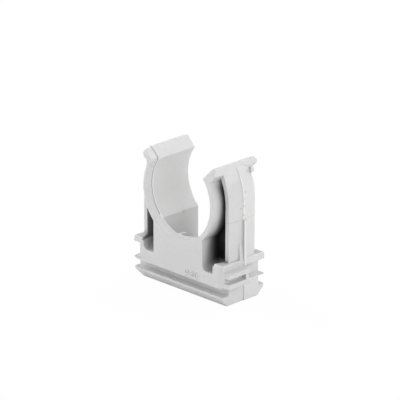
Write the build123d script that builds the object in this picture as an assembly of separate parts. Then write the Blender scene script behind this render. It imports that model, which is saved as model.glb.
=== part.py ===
from build123d import *
import os

# A snap-in conduit clip for 20 mm conduit, one moulding. Millimetres, +Z up, front face at -Y.
# Its ends are alike turned half round, so the left front corner is like the right back one.

# Seat and spring arms
SEAT_DIAMETER = 20.0
SEAT_HEIGHT = 22.25
ARM_THICKNESS = 1.15
END_ARM_THICKNESS = 0.7
DEPTH = 13.2
FACE_PLATE = 2.1
PLATE_STEP = 0.08
PLATE_LINE = 0.25
LINE_DEPTH = 0.25

# Lips of the arms, which flare out at 45 degrees
LIP_START_X = 7.8
RIGHT_LIP_RISE = 3.0
LEFT_LIP_RISE = 2.4
LIP_TOP = 0.6
LIP_TALL = 1.85
LIP_HEEL = 0.85
LIP_ROUNDING = 0.32
LIP_END_ROUNDING = 0.6
LIP_EDGE_ROUNDING = 0.2
PLATE_EDGE_ROUNDING = 0.9
PLATE_LIP_REACH = 0.55
PLATE_LIP_TALL = 1.9
PLATE_NECK_X = 1.8
PLATE_END_ROUNDING = 1.4

# Base block with its two long grooves
BASE_LENGTH = 27.5
BASE_TOP = 9.6
GROOVE_BOTTOM = 2.2
GROOVE_TOP = 4.15
GROOVE_DEPTH = 2.1
FOOT_BEVEL_IN = 1.35
FOOT_BEVEL_UP = 1.75
BACK_BEVEL_IN = 2.4
BACK_BEVEL_MID = 0.9
BACK_BEVEL_UP = 0.75
CORNER_RADIUS = 0.4
FOOT_CORNER = 0.8
NOSE_LENGTH = 1.75
EDGE_ROUNDING = 0.38
SEAM_STEP = 0.15
STEP_TOP = 1.2

# Pedestal below the seat, with the well inside it
PEDESTAL_WIDTH = 15.1
PEDESTAL_WALL = 0.75
WELL_FRONT = 3.4
WELL_FRONT_LEFT = 2.2
WELL_SLANT = 3.0
WELL_FLOOR = 5.25
BACK_SILL = 7.1
FINGER_X = 1.95
FINGER_WIDTH = 0.55
FINGER_DROP = 0.1
FINGER_REACH = 2.1

# Side pockets
POCKET_BOTTOM = 7.1
END_WALL = 2.95
POCKET_RADIUS = 1.25
POCKET_CORNER = 0.45
LEDGE_CUT = 0.6
LEDGE_WIDTH = 0.4

# Outer side walls
WALL_THICKNESS = 1.0
WALL_SETBACK = 2.6
WALL_BULGE = 0.35
WALL_LEAN = 0.05
WALL_TUCK = 0.2
WALL_INSET = 0.65
WALL_KNEE = 6.4
WALL_SHOULDER = 0.95
WALL_TOP_DROP = 1.55
WALL_ARCH = 0.9
WEB_FRONT = 1.05
WEB_BACK = 0.9
WEB_DEPTH = 2.2
HALF_STEP = 0.06
FRONT_RIB_TALL = 3.7
BACK_RIB_TALL = 9.0
RIB_PROUD = 0.23
NUB = 1.2
NUB_DEPTH = 0.9

# Linking ends: two tongues on one half, a recess on the other
TONGUE_REACH = 2.15
LOWER_THICKNESS = 1.15
UPPER_THICKNESS = 1.05
TONGUE_BACK_Y = 0.35
TONGUE_CORNER = 0.7
TONGUE_NOSE = 0.14
ROOT_REACH = 0.7
RECESS_DEPTH = 1.9
RECESS_LIP = 0.45
RECESS_EDGE = 0.1
RECESS_ROOF = 1.45
LINK_CLEARANCE = 0.05
GUSSET_TALL = 1.4
GUSSET_TOE = 0.15

# Screw hole and size mark
SCREW_HOLE = 4.3
SCREW_HEAD = 8.4
HEAD_SINK = 1.8
MARK_X = 2.75
MARK_RISE = 1.35
MARK_HEIGHT = 1.45
MARK_STROKE = 0.27
MARK_RELIEF = 0.16

SEAT_RADIUS = SEAT_DIAMETER / 2
ARM_RADIUS = SEAT_RADIUS + ARM_THICKNESS
LIP_START_Z = SEAT_HEIGHT + (SEAT_RADIUS**2 - LIP_START_X**2) ** 0.5
HALF_DEPTH = DEPTH / 2
PLATE_Y = HALF_DEPTH - FACE_PLATE
HALF_BASE = BASE_LENGTH / 2
END_X = HALF_BASE + SEAM_STEP
HALF_PEDESTAL = PEDESTAL_WIDTH / 2
WELL_HALF = HALF_PEDESTAL - PEDESTAL_WALL
POCKET_OUTER = HALF_BASE - END_WALL
WALL_FOOT_X = HALF_BASE - WALL_INSET
WALL_Y = HALF_DEPTH - WALL_SETBACK
TIP_X = HALF_BASE + TONGUE_REACH
RECESS_X = HALF_BASE - RECESS_DEPTH
RECESS_BOTTOM = GROOVE_TOP + RECESS_LIP
RECESS_TOP = BASE_TOP - RECESS_ROOF
LOWER_TONGUE = RECESS_BOTTOM + LINK_CLEARANCE
UPPER_TONGUE = RECESS_TOP - LINK_CLEARANCE - UPPER_THICKNESS
OVER = WALL_THICKNESS


def upright(y):
    """The XZ plane at a given depth."""
    return Plane(origin=(0, y, 0), x_dir=(1, 0, 0), z_dir=(0, -1, 0))


def slab(sketch, y_front, y_back):
    """A sketch drawn in X and Z, extruded between two depths."""
    return extrude(upright(y_back) * sketch, amount=y_back - y_front)


def block(x0, x1, y0, y1, z0, z1):
    """A box given by its limits."""
    middle = ((x0 + x1) / 2, (y0 + y1) / 2, (z0 + z1) / 2)
    return Pos(*middle) * Box(x1 - x0, y1 - y0, z1 - z0)


def shape(points):
    """A face from corner points."""
    return make_face(Polyline(*points, close=True))


def both_ends(part):
    """A part and its copy turned half round."""
    return part + Rot(0, 0, 180) * part


def on_ring(radius, z):
    """The point of a ring round the seat's centre at a given height."""
    return ((radius**2 - (z - SEAT_HEIGHT) ** 2) ** 0.5, z)


def base_body():
    """The base block with a groove along both long faces and bevelled feet."""
    inner = HALF_DEPTH - GROOVE_DEPTH
    side = [
        (HALF_DEPTH - FOOT_BEVEL_IN, 0),
        (HALF_DEPTH, FOOT_BEVEL_UP),
        (HALF_DEPTH, GROOVE_BOTTOM),
        (inner, GROOVE_BOTTOM),
        (inner, GROOVE_TOP),
        (HALF_DEPTH, GROOVE_TOP),
        (HALF_DEPTH, BASE_TOP),
    ]
    other = [(-y, z) for y, z in reversed(side)]
    back = [(HALF_DEPTH - BACK_BEVEL_IN, 0), (HALF_DEPTH - BACK_BEVEL_MID, BACK_BEVEL_UP)] + side[1:]
    body = extrude(Plane.YZ * shape(back + other), amount=END_X, both=True)
    outline = RectangleRounded(2 * END_X, DEPTH, CORNER_RADIUS)
    foot = RectangleRounded(2 * END_X, DEPTH, FOOT_CORNER)
    upper = extrude(Pos(0, 0, GROOVE_BOTTOM) * outline, amount=BASE_TOP - GROOVE_BOTTOM)
    body = body & (upper + extrude(foot, amount=GROOVE_BOTTOM))
    body = fillet(body.faces().sort_by(Axis.Z)[-1].outer_wire().edges(), EDGE_ROUNDING)
    set_back = block(HALF_BASE, END_X + OVER, -HALF_DEPTH - OVER, 0, -OVER, GROOVE_TOP + STEP_TOP)
    return body - both_ends(set_back + foot_nose())


def foot_nose():
    """The slanting cut under the right back foot, a block whose face is the slant."""
    high = Vector(END_X, HALF_DEPTH, GROOVE_BOTTOM)
    inner = Vector(END_X, HALF_DEPTH - BACK_BEVEL_IN, 0)
    along = Vector(END_X - NOSE_LENGTH, HALF_DEPTH - FOOT_BEVEL_IN, 0)
    outward = (along - inner).cross(high - inner)
    side = DEPTH
    return Plane(origin=inner, z_dir=outward) * Pos(0, 0, side / 2) * Box(side, side, side)


def link_recess():
    """The recess that takes the tongues of the next clip, above a blade that thins to its edge."""
    far = END_X + OVER
    back = HALF_DEPTH + OVER
    edge_z = RECESS_BOTTOM - RECESS_EDGE
    room = block(RECESS_X, far, 0, back, RECESS_BOTTOM, RECESS_TOP)
    under = shape([(RECESS_X, GROOVE_TOP), (END_X, edge_z), (far, edge_z), (far, GROOVE_TOP)])
    room += slab(under, HALF_DEPTH - GROOVE_DEPTH, back)
    eave = Plane.YZ * shape([
        (HALF_DEPTH - LIP_ROUNDING, RECESS_TOP),
        (back, RECESS_TOP),
        (back, RECESS_TOP + LIP_ROUNDING + OVER),
    ])
    return room + Pos(RECESS_X, 0, 0) * extrude(eave, amount=far - RECESS_X)


def recess_gusset():
    """A sloped fillet on the lower edge of the left recess."""
    sunk = RECESS_EDGE
    slope = shape([
        (-RECESS_X + sunk, RECESS_BOTTOM - sunk),
        (-RECESS_X + sunk, RECESS_BOTTOM + GUSSET_TALL),
        (-RECESS_X, RECESS_BOTTOM + GUSSET_TALL),
        (-HALF_BASE, RECESS_BOTTOM + GUSSET_TOE),
        (-HALF_BASE, RECESS_BOTTOM - sunk / 2),
    ])
    return slab(slope, -HALF_DEPTH + CORNER_RADIUS, -PEDESTAL_WALL * 2)


def tongue(z_low, thickness):
    """One link tongue with a rounded back corner, along the front half of the right end."""
    width = TONGUE_REACH + OVER
    length = HALF_DEPTH + OVER + TONGUE_BACK_Y
    middle = TONGUE_BACK_Y - length / 2
    plan = Pos(TIP_X - width / 2, middle) * RectangleRounded(width, length, TONGUE_CORNER)
    bar = Pos(0, 0, z_low) * extrude(plan, amount=thickness)
    tips = bar.edges().filter_by(Axis.Y).group_by(Axis.X)[-1]
    bar = fillet(tips, TONGUE_NOSE)
    return bar - block(0, 2 * TIP_X, -2 * DEPTH, -HALF_DEPTH, 0, BASE_TOP)


def link_tongues():
    """The pair of tongues and the root that joins them."""
    low = LOWER_TONGUE + LOWER_THICKNESS / 2
    high = UPPER_TONGUE + UPPER_THICKNESS / 2
    root_x = HALF_BASE + ROOT_REACH
    root = block(HALF_BASE - OVER, root_x, -HALF_DEPTH, -SEAM_STEP, low, high)
    brace = block(root_x - SEAM_STEP, TIP_X - ROOT_REACH / 2, -WALL_THICKNESS, -SEAM_STEP, low, high)
    pair = tongue(LOWER_TONGUE, LOWER_THICKNESS) + tongue(UPPER_TONGUE, UPPER_THICKNESS)
    return pair + root + brace


def seat_opening(grow=0.0):
    """The round seat and the mouth between the lips, optionally a little larger."""
    low_x = LIP_START_X + grow
    wide = LIP_START_X
    mouth = shape([
        (-low_x, LIP_START_Z),
        (low_x, LIP_START_Z),
        (low_x + wide, LIP_START_Z + wide),
        (-low_x - wide, LIP_START_Z + wide),
    ])
    return Pos(0, SEAT_HEIGHT) * Circle(SEAT_RADIUS + grow) + mouth


def full_lip(rise):
    """The right lip's section, with a blunt top and a heel that runs into the ring."""
    top_x = LIP_START_X + rise
    top_z = LIP_START_Z + rise
    heel_z = LIP_START_Z - LIP_HEEL
    return shape([
        (LIP_START_X - LIP_ROUNDING, LIP_START_Z - LIP_ROUNDING),
        (top_x, top_z),
        (top_x + LIP_TOP, top_z - LIP_TOP / 4),
        (top_x + LIP_TOP * 1.15, top_z - LIP_TALL),
        on_ring(ARM_RADIUS, heel_z),
        on_ring(SEAT_RADIUS + ARM_THICKNESS / 4, heel_z - ARM_THICKNESS / 2),
    ])


def plate_lip(rise):
    """The slimmer lip of an end plate."""
    top_x = LIP_START_X + rise
    top_z = LIP_START_Z + rise
    heel_z = LIP_START_Z - LIP_HEEL
    return shape([
        (LIP_START_X - LIP_ROUNDING, LIP_START_Z - LIP_ROUNDING),
        (top_x, top_z),
        (top_x + PLATE_LIP_REACH, top_z - PLATE_LIP_TALL / 2),
        (top_x + PLATE_LIP_REACH * 0.7, top_z - PLATE_LIP_TALL),
        (LIP_START_X + PLATE_NECK_X, LIP_START_Z - PLATE_STEP * 2),
        on_ring(ARM_RADIUS - PLATE_STEP, heel_z),
        on_ring(SEAT_RADIUS + END_ARM_THICKNESS / 4, heel_z - END_ARM_THICKNESS),
    ])


def arm_section(radius, lip, tip_z, edge_rounding, grow=0.0):
    """The right half of the ring with its lip in X and Z, the lip's corners rounded."""
    half = Pos(radius, SEAT_HEIGHT) * Rectangle(2 * radius, 2 * radius)
    section = (Pos(0, SEAT_HEIGHT) * Circle(radius)) & half
    section = section + lip - seat_opening(grow)
    tips = section.vertices().filter_by(lambda v: v.Y > tip_z)
    section = fillet(tips, LIP_ROUNDING)
    inner_edge = section.vertices().sort_by_distance((LIP_START_X + grow, LIP_START_Z, 0))[0]
    return fillet(inner_edge, edge_rounding)


def full_section(rise):
    """The right arm's full section."""
    tip_z = LIP_START_Z + rise - LIP_TALL * 1.05
    return arm_section(ARM_RADIUS, full_lip(rise), tip_z, LIP_EDGE_ROUNDING)


def plate_section(rise, grow):
    """The section of an end plate, whose inner face lies a little deeper than the seat."""
    tip_z = LIP_START_Z + rise - PLATE_LIP_TALL * 1.05
    return arm_section(SEAT_RADIUS + END_ARM_THICKNESS, plate_lip(rise), tip_z, PLATE_EDGE_ROUNDING, grow)


def pedestal_section():
    """The block between the base and the seat, hollowed out to the round of the seat."""
    foot = BASE_TOP - LEDGE_CUT
    face = Pos(0, (foot + SEAT_HEIGHT) / 2) * Rectangle(PEDESTAL_WIDTH, SEAT_HEIGHT - foot)
    return face - seat_opening()


def arms_and_pedestal():
    """Both arms with the pedestal. Right back and left front they end in slimmer plates behind a line."""
    right = full_section(RIGHT_LIP_RISE)
    left = mirror(full_section(LEFT_LIP_RISE), about=Plane.YZ)
    middle = pedestal_section()
    line_y = PLATE_Y + PLATE_LINE
    part = slab(middle + right + left, -PLATE_Y, PLATE_Y)
    part += slab(middle + left + plate_section(RIGHT_LIP_RISE, LINE_DEPTH), PLATE_Y, line_y)
    part += slab(middle + left + plate_section(RIGHT_LIP_RISE, PLATE_STEP), line_y, HALF_DEPTH)
    line = mirror(plate_section(LEFT_LIP_RISE, LINE_DEPTH), about=Plane.YZ)
    plate = mirror(plate_section(LEFT_LIP_RISE, PLATE_STEP), about=Plane.YZ)
    part += slab(middle + right + line, -line_y, -PLATE_Y)
    part += slab(middle + right + plate, -HALF_DEPTH, -line_y)
    return part


def lip_corner(y, inward, rise, radius):
    """What the rounding of the right lip's top takes off at one end. inward is 1 or -1."""
    top = LIP_START_Z + rise
    square = Pos(y + inward * radius / 2, top - radius / 2) * Rectangle(radius, radius)
    corner = square - Pos(y + inward * radius, top - radius) * Circle(radius)
    return extrude(Plane.YZ * corner, amount=SEAT_DIAMETER)


def lip_corners():
    """The roundings at both ends of the lips and of the end plates."""
    cut = lip_corner(-HALF_DEPTH, 1, RIGHT_LIP_RISE, LIP_END_ROUNDING)
    cut += lip_corner(PLATE_Y, -1, RIGHT_LIP_RISE, LIP_END_ROUNDING)
    left = lip_corner(-HALF_DEPTH, 1, LEFT_LIP_RISE, LIP_END_ROUNDING / 2)
    left += lip_corner(PLATE_Y, -1, LEFT_LIP_RISE, LIP_END_ROUNDING / 2)
    cut += lip_corner(HALF_DEPTH, -1, RIGHT_LIP_RISE, PLATE_END_ROUNDING)
    left += lip_corner(HALF_DEPTH, -1, LEFT_LIP_RISE, PLATE_END_ROUNDING)
    return cut + Rot(0, 0, 180) * left


def wall_line(rise, full, inward=0.0):
    """The right outer wall's outer line, curving in to the lip. full is 1 at mid depth, 0 at the ends."""
    foot_x = WALL_FOOT_X + full * WALL_BULGE / 2 - inward
    side_x = WALL_FOOT_X + WALL_LEAN + full * WALL_BULGE - inward
    knee_z = BASE_TOP + WALL_KNEE
    shoulder_z = SEAT_HEIGHT - WALL_SHOULDER
    top_x = LIP_START_X + rise + WALL_TUCK * (2.5 - full) - inward
    top_z = LIP_START_Z + rise - WALL_TOP_DROP + full * WALL_ARCH - inward / 2
    middle_x = side_x - WALL_TUCK * 1.5 - (RIGHT_LIP_RISE - rise) * 0.6
    middle_z = (shoulder_z + top_z) / 2
    foot = Line((foot_x, BASE_TOP - LEDGE_CUT), (side_x, knee_z))
    side = Line((side_x, knee_z), (side_x, shoulder_z))
    return foot + side + ThreePointArc((side_x, shoulder_z), (middle_x, middle_z), (top_x, top_z))


def wall_face(rise, full, proud=0.0):
    """Section of the right outer wall between its outer and inner lines."""
    outer = wall_line(rise, full, -proud)
    inner = wall_line(rise, full, WALL_THICKNESS - proud)
    cap = Line(outer @ 1, inner @ 1)
    sole = Line(inner @ 0, outer @ 0)
    return make_face(outer.edges() + inner.edges() + cap.edges() + sole.edges())


def outer_wall(rise):
    """The right outer wall, fullest at mid depth."""
    front = upright(-WALL_Y) * wall_face(rise, 0)
    middle = upright(0) * wall_face(rise, 1)
    proud = upright(0) * wall_face(rise, 1, HALF_STEP)
    back = upright(WALL_Y) * wall_face(rise, 0, HALF_STEP)
    return loft([front, middle], ruled=True) + loft([proud, back], ruled=True)


def mid_web(rise):
    """The web at mid depth that ties the right arm to its outer wall, and its two ribs."""
    edge = wall_line(rise, 1, WALL_THICKNESS / 2)
    inner_x = HALF_PEDESTAL - PEDESTAL_WALL / 2
    corner = (inner_x, BASE_TOP - WEB_DEPTH)
    loop = edge.edges() + Line(edge @ 1, (inner_x, SEAT_HEIGHT)).edges()
    loop += Line((inner_x, SEAT_HEIGHT), corner).edges() + Line(corner, ((edge @ 0).X, corner[1])).edges()
    loop += Line(((edge @ 0).X, corner[1]), edge @ 0).edges()
    hole = Pos(0, SEAT_HEIGHT) * Circle(SEAT_RADIUS + ARM_THICKNESS / 3)
    web = slab(make_face(loop) - hole, -WEB_FRONT, WEB_BACK)
    sunk_x = WALL_FOOT_X - WALL_THICKNESS
    foot_z = BASE_TOP - EDGE_ROUNDING
    front_rib = shape([
        (sunk_x, foot_z),
        (HALF_BASE, foot_z),
        (WALL_FOOT_X + WALL_BULGE, BASE_TOP + FRONT_RIB_TALL),
        (sunk_x, BASE_TOP + FRONT_RIB_TALL),
    ])
    back_rib = shape([
        (sunk_x, RECESS_TOP),
        (HALF_BASE + RIB_PROUD, RECESS_TOP),
        (HALF_BASE + RIB_PROUD, BASE_TOP + BACK_RIB_TALL),
        (sunk_x, BASE_TOP + BACK_RIB_TALL + RIB_PROUD),
    ])
    return web + slab(front_rib, -WEB_FRONT, 0) + slab(back_rib, 0, WEB_BACK)


def pocket_slot(middle):
    """The slot of a front pocket, with a large radius at its low left and a small one at its low right."""
    width = POCKET_OUTER - HALF_PEDESTAL
    top = BASE_TOP + EDGE_ROUNDING
    face = Pos(middle, (POCKET_BOTTOM + top) / 2) * Rectangle(width, top - POCKET_BOTTOM)
    radius = min(POCKET_RADIUS, width / 2)
    face = fillet(face.vertices().group_by(Axis.Y)[0].sort_by(Axis.X)[0], radius)
    face = fillet(face.vertices().group_by(Axis.Y)[0].sort_by(Axis.X)[-1], min(POCKET_CORNER, width / 4))
    return slab(face, -HALF_DEPTH - OVER, -WEB_FRONT)


def pocket_mouth():
    """The wider mouth of the right front pocket, at the base top."""
    wall_x = WALL_FOOT_X - WALL_THICKNESS
    plan = shape([
        (HALF_PEDESTAL, -HALF_DEPTH - OVER),
        (POCKET_OUTER + LEDGE_WIDTH, -HALF_DEPTH - OVER),
        (POCKET_OUTER + LEDGE_WIDTH, -HALF_DEPTH + LEDGE_WIDTH / 2),
        (wall_x, -WALL_Y + LEDGE_WIDTH / 2),
        (wall_x, -WEB_FRONT),
        (HALF_PEDESTAL, -WEB_FRONT),
    ])
    return Pos(0, 0, BASE_TOP - LEDGE_CUT) * extrude(plan, amount=LEDGE_CUT + OVER)


def front_pockets():
    """The pockets beside the pedestal at the front."""
    middle = (POCKET_OUTER + HALF_PEDESTAL) / 2
    mouth = pocket_mouth()
    return pocket_slot(middle) + mouth + pocket_slot(-middle) + mirror(mouth, about=Plane.YZ)


def well():
    """The open space inside the pedestal, open to the back above the sill, nearer the front on the left."""
    thin_y = -HALF_DEPTH + WELL_FRONT_LEFT
    thick_y = -HALF_DEPTH + WELL_FRONT
    plan = shape([
        (-WELL_HALF, thin_y),
        (-FINGER_X, thin_y),
        (-FINGER_X + WELL_SLANT, thick_y),
        (WELL_HALF, thick_y),
        (WELL_HALF, PLATE_Y),
        (-WELL_HALF, PLATE_Y),
    ])
    chamber = Pos(0, 0, WELL_FLOOR) * extrude(plan, amount=SEAT_HEIGHT - WELL_FLOOR)
    return chamber + block(-WELL_HALF, WELL_HALF, 0, HALF_DEPTH + OVER, BACK_SILL, SEAT_HEIGHT)


def screw_hole():
    """The screw hole with the recess for its head."""
    floor = WELL_FLOOR - HEAD_SINK
    hole = Pos(0, 0, floor / 2) * Cylinder(SCREW_HOLE / 2, floor + 2 * OVER)
    head = Pos(0, 0, (floor + BASE_TOP) / 2) * Cylinder(SCREW_HEAD / 2, BASE_TOP - floor + 2 * OVER)
    return hole + Pos(0, 0, OVER) * head


def rim_finger():
    """A thin finger that reaches back from the well's front rim, level with the seat."""
    top = SEAT_HEIGHT - (SEAT_RADIUS**2 - FINGER_X**2) ** 0.5
    rim = -HALF_DEPTH + WELL_FRONT_LEFT
    face = Pos(-FINGER_X, top) * Rectangle(FINGER_WIDTH, 2 * FINGER_WIDTH) - seat_opening(FINGER_DROP)
    return slab(face, rim - FINGER_DROP, rim + FINGER_REACH)


def wall_nub(rise):
    """A small rounded nub on the wall's top, at the back."""
    top = wall_line(rise, 0) @ 1
    place = Pos(top.X + NUB / 2, top.Y - NUB * 0.8)
    return slab(place * RectangleRounded(NUB, NUB, NUB / 4), PLATE_Y - NUB_DEPTH, PLATE_Y)


def size_mark():
    """The raised size mark, a diameter sign and the number 20."""
    tall = MARK_HEIGHT
    wide = tall * 0.66
    pen = MARK_STROKE
    nought = Ellipse(wide / 2, tall / 2) - Ellipse(wide / 2 - pen, tall / 2 - pen)
    slash = Rot(0, 0, 60) * Rectangle(tall * 1.25, pen * 0.8)
    sign = Circle(tall * 0.42) - Circle(tall * 0.42 - pen) + slash
    top = Pos(0, tall / 2 - wide / 2) * (Circle(wide / 2) - Circle(wide / 2 - pen))
    top -= Pos(-wide / 2, tall / 2 - wide) * Rectangle(wide * 1.1, wide * 0.98)
    stroke = shape([
        (wide / 2 - pen * 0.2, tall / 2 - wide * 0.62),
        (wide / 2 - pen * 1.3, tall / 2 - wide * 0.55),
        (-wide / 2, -tall / 2 + pen * 0.7),
        (-wide / 2, -tall / 2),
        (wide / 2, -tall / 2),
        (wide / 2, -tall / 2 + pen),
        (-wide / 2 + pen * 1.5, -tall / 2 + pen),
    ])
    z = GROOVE_TOP + MARK_RISE
    two_x = MARK_X + tall * 1.14
    letters = Pos(MARK_X, z) * sign + Pos(two_x, z) * (top + stroke) + Pos(two_x + tall * 0.9, z) * nought
    return slab(letters, -HALF_DEPTH - MARK_RELIEF, -HALF_DEPTH + MARK_RELIEF)


def clip():
    """The whole moulding."""
    part = base_body() - both_ends(link_recess()) + recess_gusset()
    part += both_ends(link_tongues())
    part -= screw_hole()
    part += arms_and_pedestal() - lip_corners()
    part += outer_wall(RIGHT_LIP_RISE) + mid_web(RIGHT_LIP_RISE)
    part += mirror(outer_wall(LEFT_LIP_RISE), about=Plane.YZ)
    part += Rot(0, 0, 180) * mid_web(LEFT_LIP_RISE)
    part += wall_nub(RIGHT_LIP_RISE)
    part -= both_ends(front_pockets())
    part -= well()
    part += rim_finger()
    return part + size_mark()


os.makedirs("parts", exist_ok=True)
body = clip()
solids = body.solids()
assert len(solids) == 1, "the clip must be one solid"
export_step(solids[0], "parts/clip.step")
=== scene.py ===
import math

import bmesh
import bpy
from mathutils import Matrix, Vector

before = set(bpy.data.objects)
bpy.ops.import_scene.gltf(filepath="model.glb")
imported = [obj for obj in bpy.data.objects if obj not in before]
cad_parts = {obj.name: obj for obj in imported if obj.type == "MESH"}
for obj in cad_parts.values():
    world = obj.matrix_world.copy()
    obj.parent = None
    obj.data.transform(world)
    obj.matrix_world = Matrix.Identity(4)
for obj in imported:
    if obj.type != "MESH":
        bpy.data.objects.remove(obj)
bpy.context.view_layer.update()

bl_info = {
    "name": "Conduit clip",
    "version": (1, 0, 0),
    "blender": (4, 5, 0),
    "location": "3D View > Sidebar > Clip",
    "description": "Dresses the packed conduit clip in moulded plastic and sets up its studio",
    "category": "Object",
}

MM = 0.001

# Camera: a long lens, and how far to its right, up its picture and up in Z it aims from the origin
SENSOR_WIDTH = 36.0
LENS = 360.0
CLIP_START, CLIP_END = 0.05, 10.0
AIM_RIGHT = 0.24541 * MM
AIM_UP = 14.59241 * MM
AIM_LIFT = 4.15 * MM

# Square lamps that all look at the clip's middle, with the direction each one stands in
LAMP_TARGET = Vector((0.0, 0.0, 0.015))
LAMP_DISTANCE = 0.7
LAMP_SIZE = 0.5
LAMPS = (
    ("right", (0.9, -0.1, 0.42)),
    ("back_right", (0.6, 0.6, 0.53)),
    ("back", (-0.1, 0.85, 0.52)),
    ("left", (-0.85, -0.1, 0.52)),
    ("front_left", (-0.45, -0.8, 0.4)),
    ("front", (0.3, -0.9, 0.3)),
)

# Share of the floor that is plain white to the camera, and the colour of the rest
FLOOR_WHITE = 0.965
FLOOR_COLOUR = (0.8, 0.8, 0.8, 1.0)
WHITE = (1.0, 1.0, 1.0, 1.0)

# From here to the nick, millimetres in the clip's own frame. Pairs are where a fade starts and ends.
# The two arm and seat pairs are distances from the seat's axis.
SEAT_Z = 22.25
OUTSIDE_ARM = (10.5, 10.9)
ON_SEAT = (10.2, 10.6)

# Side pockets, whose depth shade is painted into the base colour
POCKET_INNER = (6.9, 7.6)
POCKET_OUTER = (12.9, 13.1)
POCKET_FLOOR = (6.4, 9.0)
POCKET_TOP = (26.0, 28.0)
POCKET_DEPTH = (1.6, 7.6)

# Right wall: its seam, with painted shade for its dark edge and a painted highlight for its bright edge,
# its pits in Y and Z, and its front half in painted shade
ON_WALL = (12.4, 12.7)
ABOVE_FOOT = (3.0, 4.0)
SEAM_SHADE_Y, SEAM_SHADE_WIDTH = 0.05, 0.22
SEAM_HIGHLIGHT_Y, SEAM_HIGHLIGHT_WIDTH = 0.3, 0.26
# The front half of the right wall gets painted shade
FRONT_HALF = (0.0, 0.2)
PITS = ((0.9, 24.9), (0.5, 23.5), (0.3, 21.9), (-0.5, 21.4), (0.2, 19.75))
PIT_RADIUS = 0.36
PIT_SIDE = (11.5, 12.0)

# Mould line round the clip, and the painted highlight on the ridge behind the seat's front line, low
# down and on the left arm
MOULD_LINE_Z, MOULD_LINE_WIDTH = 18.75, 0.14
RIDGE_Y, RIDGE_WIDTH = -4.4, 0.22
RIDGE_LOW = (15.5, 16.5)
RIDGE_LEFT = (-7.2, -6.8)

# Nick in the seat's edge at the well, in X and Y
NICK = (-6.65, 2.1)
NICK_RADIUS = 0.5
NICK_SKIN = (10.3, 10.6)

# How strongly each mark, painted shade and painted highlight shows
SEAM_SHADE, FRONT_HALF_SHADE, MOULD_LINE_DARK, PIT_DARK, NICK_DARK = 0.10, 0.06, 0.18, 0.35, 0.35
SEAM_HIGHLIGHT = 0.6
# Share of the painted pocket shade that the left pocket gets
LEFT_POCKET_SHADE = 0.8

# Colours that the painted edge highlights and pale lines, the dark marks and painted shade, and the
# painted pocket shade fade to
HIGHLIGHT_WHITE = (0.86, 0.86, 0.86, 1.0)
SHADE_AND_MARK_GREY = (0.05, 0.05, 0.05, 1.0)
POCKET_SHADE_BLACK = (0.004, 0.004, 0.004, 1.0)

# The skin's noises as scale per millimetre, detail and roughness, and where each fades in
CLOUD, CLOUD_FADE = (0.12, 3.0, 0.5), (0.35, 0.7)
BLOTCH, BLOTCH_FADE = (1.1, 4.0, 0.65), (0.5, 0.75)
SPECK, SPECK_FADE = (2.4, 2.0, 0.5), (0.45, 0.75)
GRAIN = (3.2, 3.0, 0.5)
PALE_SHARE, DULL_SHARE = 1.035, 0.93
BLOTCH_SHOWS, SPECK_SHOWS = 0.8, 0.25
BUMP_STRENGTH = 0.25
BUMP_HEIGHT = 0.004 * MM

# Where the openness of a hollow, of a crease and of an edge fades, and how bent an edge is, for the
# painted pocket shade, crease shade and edge highlight
HOLLOW = (0.45, 0.85)
CREASE = (0.1, 0.8)
OPEN_EDGE = (0.5, 1.0)
EDGE_BEND = (0.01, 0.2)


class Socket:
    """A shader value that can be used in Python sums."""

    def __init__(self, sheet, link):
        self.sheet = sheet
        self.link = link

    def _math(self, operation, *values):
        return self.sheet.node("ShaderNodeMath", {"operation": operation}, *values)

    def __add__(self, other):
        return self._math("ADD", self, other)

    def __radd__(self, other):
        return self._math("ADD", other, self)

    def __sub__(self, other):
        return self._math("SUBTRACT", self, other)

    def __rsub__(self, other):
        return self._math("SUBTRACT", other, self)

    def __mul__(self, other):
        return self._math("MULTIPLY", self, other)

    def __rmul__(self, other):
        return self._math("MULTIPLY", other, self)

    def __abs__(self):
        return self._math("ABSOLUTE", self)


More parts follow.
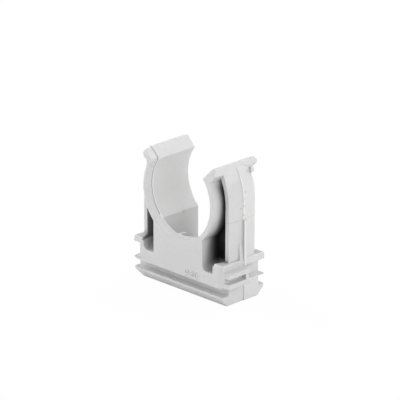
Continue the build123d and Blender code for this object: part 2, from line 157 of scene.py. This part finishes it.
class Sheet:
    """The node sheet of one material."""

    def __init__(self, material):
        material.use_nodes = True
        self.tree = material.node_tree
        self.tree.nodes.clear()

    def node(self, kind, settings=None, *values, out=0, **named):
        """Adds a node, sets its settings and feeds its sockets in order or by name."""
        made = self.tree.nodes.new(kind)
        for key, value in (settings or {}).items():
            setattr(made, key, value)
        pairs = list(zip(made.inputs, values))
        pairs += [(made.inputs[key.replace("_", " ")], value) for key, value in named.items()]
        for socket, value in pairs:
            if value is None:
                continue
            if isinstance(value, Socket):
                self.tree.links.new(value.link, socket)
            else:
                socket.default_value = value
        return Socket(self, made.outputs[out]) if made.outputs else made

    def part(self, vector, axis):
        """One component of a vector."""
        return self.node("ShaderNodeSeparateXYZ", None, vector, out="XYZ".index(axis))

    def clamp(self, value):
        """A value kept between 0 and 1."""
        return self.node("ShaderNodeClamp", None, value, 0.0, 1.0)

    def smooth(self, value, low, high):
        """0 below low, 1 above high, and a soft step between."""
        step = {"interpolation_type": "SMOOTHSTEP"}
        return self.node("ShaderNodeMapRange", step, value, low, high, 0.0, 1.0)

    def fall(self, value, low, high):
        """1 below low, 0 above high, and a soft step between."""
        return 1 - self.smooth(value, low, high)

    def line(self, value, place, width):
        """1 on a thin line where value equals place, fading to 0 over its width."""
        return self.fall(abs(value - place), 0.0, width)

    def spot(self, across, up, centre, radius):
        """1 at a point of two coordinates, fading to 0 at a radius."""
        return self.line(across, centre[0], radius) * self.line(up, centre[1], radius)

    def noise(self, coords, scale, detail, roughness):
        """Soft noise, as a value from 0 to 1."""
        return self.node(
            "ShaderNodeTexNoise", None, coords, Scale=scale, Detail=detail, Roughness=roughness,
        )

    def openness(self, reach):
        """1 on open surfaces, falling to 0 deep in hollows of the given reach."""
        return self.node("ShaderNodeAmbientOcclusion", {"samples": 12}, Distance=reach, out=1)

    def mix(self, mask, first, second):
        """A colour between two, by a mask."""
        made = self.tree.nodes.new("ShaderNodeMix")
        made.data_type = "RGBA"
        sockets = [s for s in made.inputs if s.type == "RGBA"]
        for socket, value in ((made.inputs[0], mask), (sockets[0], first), (sockets[1], second)):
            if isinstance(value, Socket):
                self.tree.links.new(value.link, socket)
            else:
                socket.default_value = value
        return Socket(self, [s for s in made.outputs if s.type == "RGBA"][0])


class ClipSettings(bpy.types.PropertyGroup):
    """The finish of the moulding."""

    plastic: bpy.props.FloatVectorProperty(
        name="Plastic", description="Colour of the moulded plastic",
        default=(0.60, 0.60, 0.598), size=3, min=0.0, max=1.0, subtype="COLOR",
    )
    gloss_roughness: bpy.props.FloatProperty(
        name="Roughness", description="How satin the plastic is", default=0.46, min=0.0, max=1.0,
    )
    edge_radius: bpy.props.FloatProperty(
        name="Edge radius", description="Softness of the moulded edges",
        default=0.25 * MM, min=0.0, unit="LENGTH",
    )
    # The creases get painted shade, which darkens the base colour near corners
    crease_reach: bpy.props.FloatProperty(
        name="Crease reach", description="How far from a corner the dust and shade of a crease show",
        default=1.6 * MM, min=0.0, unit="LENGTH",
    )
    # Reach of the hollows that get the painted pocket shade
    pocket_reach: bpy.props.FloatProperty(
        name="Pocket reach", description="Size of the hollows that are darkened as pockets",
        default=6.0 * MM, min=0.0, unit="LENGTH",
    )
    # Strength of the shade painted into the creases
    crease_painted_shade: bpy.props.FloatProperty(
        name="Crease shade", description="How dark the creases are", default=0.04, min=0.0, max=1.0,
    )
    # Strength of the highlight painted on the moulded edges
    edge_painted_highlight: bpy.props.FloatProperty(
        name="Edge light", description="How pale the moulded edges are", default=0.6, min=0.0, max=1.0,
    )


def lamp_power(name, where, default):
    """A setting for one lamp's power."""
    description = f"Power of the lamp {where}"
    return bpy.props.FloatProperty(name=name, description=description, default=default, unit="POWER")


class StageSettings(bpy.types.PropertyGroup):
    """The studio round the clip."""

    camera_azimuth: bpy.props.FloatProperty(
        name="Camera azimuth", description="Turn of the camera from the front face",
        default=math.radians(44.976), subtype="ANGLE",
    )
    camera_elevation: bpy.props.FloatProperty(
        name="Camera elevation", description="Height of the camera above the horizon",
        default=math.radians(20.646), subtype="ANGLE",
    )
    camera_distance: bpy.props.FloatProperty(
        name="Camera distance", description="From the camera to the point it looks at",
        default=0.8836, unit="LENGTH",
    )
    right_power: lamp_power("Right lamp", "on the right", 2.3)
    back_right_power: lamp_power("Back right lamp", "behind on the right", 1.5)
    back_power: lamp_power("Back lamp", "behind", 3.0)
    left_power: lamp_power("Left lamp", "on the left", 3.6)
    front_left_power: lamp_power("Front left lamp", "in front on the left", 1.5)
    front_power: lamp_power("Front lamp", "beside the camera", 0.7)
    sky_strength: bpy.props.FloatProperty(
        name="Sky", description="Strength of the even light from all round", default=0.22,
    )
    floor_size: bpy.props.FloatProperty(
        name="Floor", description="Side of the floor", default=3.0, unit="LENGTH",
    )


def pocket_shade(sheet, settings, x, y, z, ring):
    """How dark the painted shade in the side pockets is, 1 at the web at mid depth and 0 at their
    mouths.
    """
    hollow = sheet.fall(sheet.openness(settings.pocket_reach), *HOLLOW)
    beside = sheet.smooth(abs(x), *POCKET_INNER) * sheet.fall(abs(x), *POCKET_OUTER)
    height = sheet.smooth(z, *POCKET_FLOOR) * sheet.fall(z, *POCKET_TOP)
    inward = sheet.fall(abs(y), *POCKET_DEPTH)
    deep = sheet.smooth(ring, *OUTSIDE_ARM) * beside * height * inward
    right = sheet.smooth(x, -1.0, 1.0)
    return deep * hollow * (LEFT_POCKET_SHADE + (1.0 - LEFT_POCKET_SHADE) * right)


def marks_and_painted_shade(sheet, x, y, z, ring):
    """The seam's painted shade and the painted shade on the right wall's front half, the pits of the
    right wall, the mould line and a nick in the seat's edge.
    """
    wall = sheet.smooth(x, *ON_WALL)
    foot = sheet.smooth(z, *ABOVE_FOOT)
    seam = sheet.line(y, SEAM_SHADE_Y, SEAM_SHADE_WIDTH) * wall * foot * SEAM_SHADE
    half = sheet.fall(y, *FRONT_HALF) * wall * FRONT_HALF_SHADE
    mould = sheet.line(z, MOULD_LINE_Z, MOULD_LINE_WIDTH) * sheet.smooth(ring, *OUTSIDE_ARM)
    pits = sum(sheet.spot(y, z, pit, PIT_RADIUS) for pit in PITS) * sheet.smooth(x, *PIT_SIDE)
    nick = sheet.spot(x, y, NICK, NICK_RADIUS) * sheet.fall(ring, *NICK_SKIN)
    return sheet.clamp(seam + half + mould * MOULD_LINE_DARK + pits * PIT_DARK + nick * NICK_DARK)


def painted_highlights(sheet, x, y, z, ring):
    """Painted highlights: the seam's bright edge on the right wall and the fine ridge behind the seat's
    front line.
    """
    foot = sheet.smooth(z, *ABOVE_FOOT)
    seam = sheet.line(y, SEAM_HIGHLIGHT_Y, SEAM_HIGHLIGHT_WIDTH) * sheet.smooth(x, *ON_WALL) * foot * SEAM_HIGHLIGHT
    run = sheet.clamp(sheet.fall(z, *RIDGE_LOW) + sheet.fall(x, *RIDGE_LEFT))
    ridge = sheet.line(y, RIDGE_Y, RIDGE_WIDTH) * sheet.fall(ring, *ON_SEAT)
    return sheet.clamp(seam + ridge * run)


def plastic_skin(sheet, settings, mm):
    """The plastic's own colour, clouded, with dull blotches and pale specks."""
    base = (*settings.plastic, 1.0)
    pale = (*(v * PALE_SHARE for v in settings.plastic), 1.0)
    dull = (*(v * DULL_SHARE for v in settings.plastic), 1.0)
    cloud = sheet.smooth(sheet.noise(mm, *CLOUD), *CLOUD_FADE)
    blotch = sheet.smooth(sheet.noise(mm, *BLOTCH), *BLOTCH_FADE) * BLOTCH_SHOWS
    speck = sheet.smooth(sheet.noise(mm, *SPECK), *SPECK_FADE) * SPECK_SHOWS
    colour = sheet.mix(cloud, base, pale)
    colour = sheet.mix(blotch, colour, dull)
    return sheet.mix(speck, colour, pale)


def plastic_material(settings):
    """Light grey moulded plastic with painted shade in its side pockets, creases, seam and the right
    wall's front half, painted highlights on its edges, seam and ridge, and the moulding's fine marks.
    """
    material = bpy.data.materials.new("clip_plastic_detail")
    sheet = Sheet(material)
    place = sheet.node("ShaderNodeTexCoord", None, out=3)
    mm = sheet.node("ShaderNodeVectorMath", {"operation": "SCALE"}, place, Scale=1.0 / MM)
    x, y, z = (sheet.part(mm, axis) for axis in "XYZ")
    rise = z - SEAT_Z
    ring = sheet.node("ShaderNodeMath", {"operation": "SQRT"}, x * x + rise * rise)
    round_edges = sheet.node("ShaderNodeBevel", {"samples": 8}, settings.edge_radius)
    flat = sheet.node("ShaderNodeNewGeometry", None, out=1)
    bend = sheet.node("ShaderNodeVectorMath", {"operation": "DOT_PRODUCT"}, round_edges, flat, out=1)
    crease = sheet.smooth(sheet.openness(settings.crease_reach), *CREASE)
    edge = sheet.smooth(1 - bend, *EDGE_BEND) * sheet.smooth(crease, *OPEN_EDGE)
    colour = plastic_skin(sheet, settings, mm)
    # Painted highlight on the open moulded edges
    colour = sheet.mix(edge * settings.edge_painted_highlight, colour, HIGHLIGHT_WHITE)
    # Painted highlights of the seam and the ridge
    colour = sheet.mix(painted_highlights(sheet, x, y, z, ring), colour, HIGHLIGHT_WHITE)
    # Painted shade of the seam and the wall's front half, with the dark marks
    colour = sheet.mix(marks_and_painted_shade(sheet, x, y, z, ring), colour, SHADE_AND_MARK_GREY)
    # Painted shade in the creases
    colour = sheet.mix((1 - crease) * settings.crease_painted_shade, colour, SHADE_AND_MARK_GREY)
    # Painted shade deep in the side pockets
    colour = sheet.mix(pocket_shade(sheet, settings, x, y, z, ring), colour, POCKET_SHADE_BLACK)
    bump = sheet.node(
        "ShaderNodeBump", None,
        Strength=BUMP_STRENGTH, Distance=BUMP_HEIGHT, Height=sheet.noise(mm, *GRAIN), Normal=round_edges,
    )
    shader = sheet.node(
        "ShaderNodeBsdfPrincipled", None,
        Base_Color=colour, Roughness=settings.gloss_roughness, Normal=bump,
    )
    sheet.node("ShaderNodeOutputMaterial", None, shader)
    return material


def floor_material():
    """A pale floor that shows white and keeps a soft shadow."""
    material = bpy.data.materials.new("studio_floor")
    sheet = Sheet(material)
    seen = sheet.node("ShaderNodeLightPath", None, out=0)
    matt = sheet.node("ShaderNodeBsdfDiffuse", None, FLOOR_COLOUR)
    white = sheet.node("ShaderNodeEmission", None, WHITE, 1.0)
    surface = sheet.node("ShaderNodeMixShader", None, seen * FLOOR_WHITE, matt, white)
    sheet.node("ShaderNodeOutputMaterial", None, surface)
    return material


class CLIP_OT_body(bpy.types.Operator):
    """Gives the moulded clip its plastic"""

    bl_idname = "clip.body"
    bl_label = "Clip moulding"

    def execute(self, context):
        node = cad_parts["clip"]
        node.data.materials.clear()
        node.data.materials.append(plastic_material(context.scene.clip_settings))
        return {"FINISHED"}


class CLIP_OT_stage(bpy.types.Operator):
    """Sets up the floor, the lamps and the camera"""

    bl_idname = "clip.stage"
    bl_label = "Studio"

    def execute(self, context):
        settings = context.scene.clip_stage
        self.make_floor(settings)
        self.make_lamps(settings)
        self.make_world(context, settings)
        self.make_camera(context, settings)
        context.scene.view_settings.view_transform = "Standard"
        return {"FINISHED"}

    def make_floor(self, settings):
        """A flat floor under the clip that isn't part of it."""
        mesh = bpy.data.meshes.new("floor")
        bm = bmesh.new()
        bmesh.ops.create_grid(bm, x_segments=1, y_segments=1, size=settings.floor_size / 2)
        bm.to_mesh(mesh)
        bm.free()
        mesh.materials.append(floor_material())
        floor = bpy.data.objects.new("floor", mesh)
        bpy.context.scene.collection.objects.link(floor)

    def make_lamps(self, settings):
        """All the lamps, each with its own power."""
        for name, direction in LAMPS:
            self.lamp(f"{name}_softbox", direction, getattr(settings, f"{name}_power"))

    def lamp(self, name, direction, power):
        """A square lamp that looks at the clip from a direction."""
        data = bpy.data.lights.new(name, "AREA")
        data.size = LAMP_SIZE
        data.energy = power
        direction = Vector(direction).normalized()
        lamp = bpy.data.objects.new(name, data)
        lamp.location = LAMP_TARGET + direction * LAMP_DISTANCE
        lamp.rotation_mode = "QUATERNION"
        lamp.rotation_quaternion = direction.to_track_quat("Z", "Y")
        bpy.context.scene.collection.objects.link(lamp)

    def make_world(self, context, settings):
        """A weak even light that shows white to the camera."""
        world = bpy.data.worlds.new("studio_sky")
        sheet = Sheet(world)
        path = sheet.tree.nodes.new("ShaderNodeLightPath")
        seen = Socket(sheet, path.outputs["Is Camera Ray"])
        strength = seen * (1.0 - settings.sky_strength) + settings.sky_strength
        sky = sheet.node("ShaderNodeBackground", None, WHITE, strength)
        sheet.node("ShaderNodeOutputWorld", None, sky)
        context.scene.world = world

    def make_camera(self, context, settings):
        """The camera, set by its angles round the clip and its distance."""
        turn, rise = settings.camera_azimuth, settings.camera_elevation
        level = math.cos(rise)
        back = Vector((math.sin(turn) * level, -math.cos(turn) * level, math.sin(rise)))
        right = Vector((math.cos(turn), math.sin(turn), 0.0))
        up = back.cross(right)
        target = right * AIM_RIGHT + up * AIM_UP + Vector((0.0, 0.0, AIM_LIFT))
        data = bpy.data.cameras.new("camera")
        data.sensor_width = SENSOR_WIDTH
        data.lens = LENS
        data.clip_start, data.clip_end = CLIP_START, CLIP_END
        camera = bpy.data.objects.new("camera", data)
        camera.location = target + back * settings.camera_distance
        camera.rotation_mode = "QUATERNION"
        camera.rotation_quaternion = back.to_track_quat("Z", "Y")
        context.scene.collection.objects.link(camera)
        context.scene.camera = camera


class CLIP_PT_panel(bpy.types.Panel):
    """The clip's settings and steps"""

    bl_label = "Conduit clip"
    bl_idname = "CLIP_PT_panel"
    bl_space_type = "VIEW_3D"
    bl_region_type = "UI"
    bl_category = "Clip"

    def draw(self, context):
        layout = self.layout
        for group in (context.scene.clip_settings, context.scene.clip_stage):
            for name in group.__annotations__:
                layout.prop(group, name)
        for step in STEPS:
            layout.operator(step.bl_idname)


STEPS = (CLIP_OT_body, CLIP_OT_stage)
CLASSES = (ClipSettings, StageSettings, *STEPS, CLIP_PT_panel)


def register():
    for cls in CLASSES:
        bpy.utils.register_class(cls)
    bpy.types.Scene.clip_settings = bpy.props.PointerProperty(type=ClipSettings)
    bpy.types.Scene.clip_stage = bpy.props.PointerProperty(type=StageSettings)


def unregister():
    del bpy.types.Scene.clip_stage
    del bpy.types.Scene.clip_settings
    for cls in reversed(CLASSES):
        bpy.utils.unregister_class(cls)


def main():
    register()
    bpy.ops.clip.body()
    bpy.ops.clip.stage()


if __name__ == "__main__":
    main()
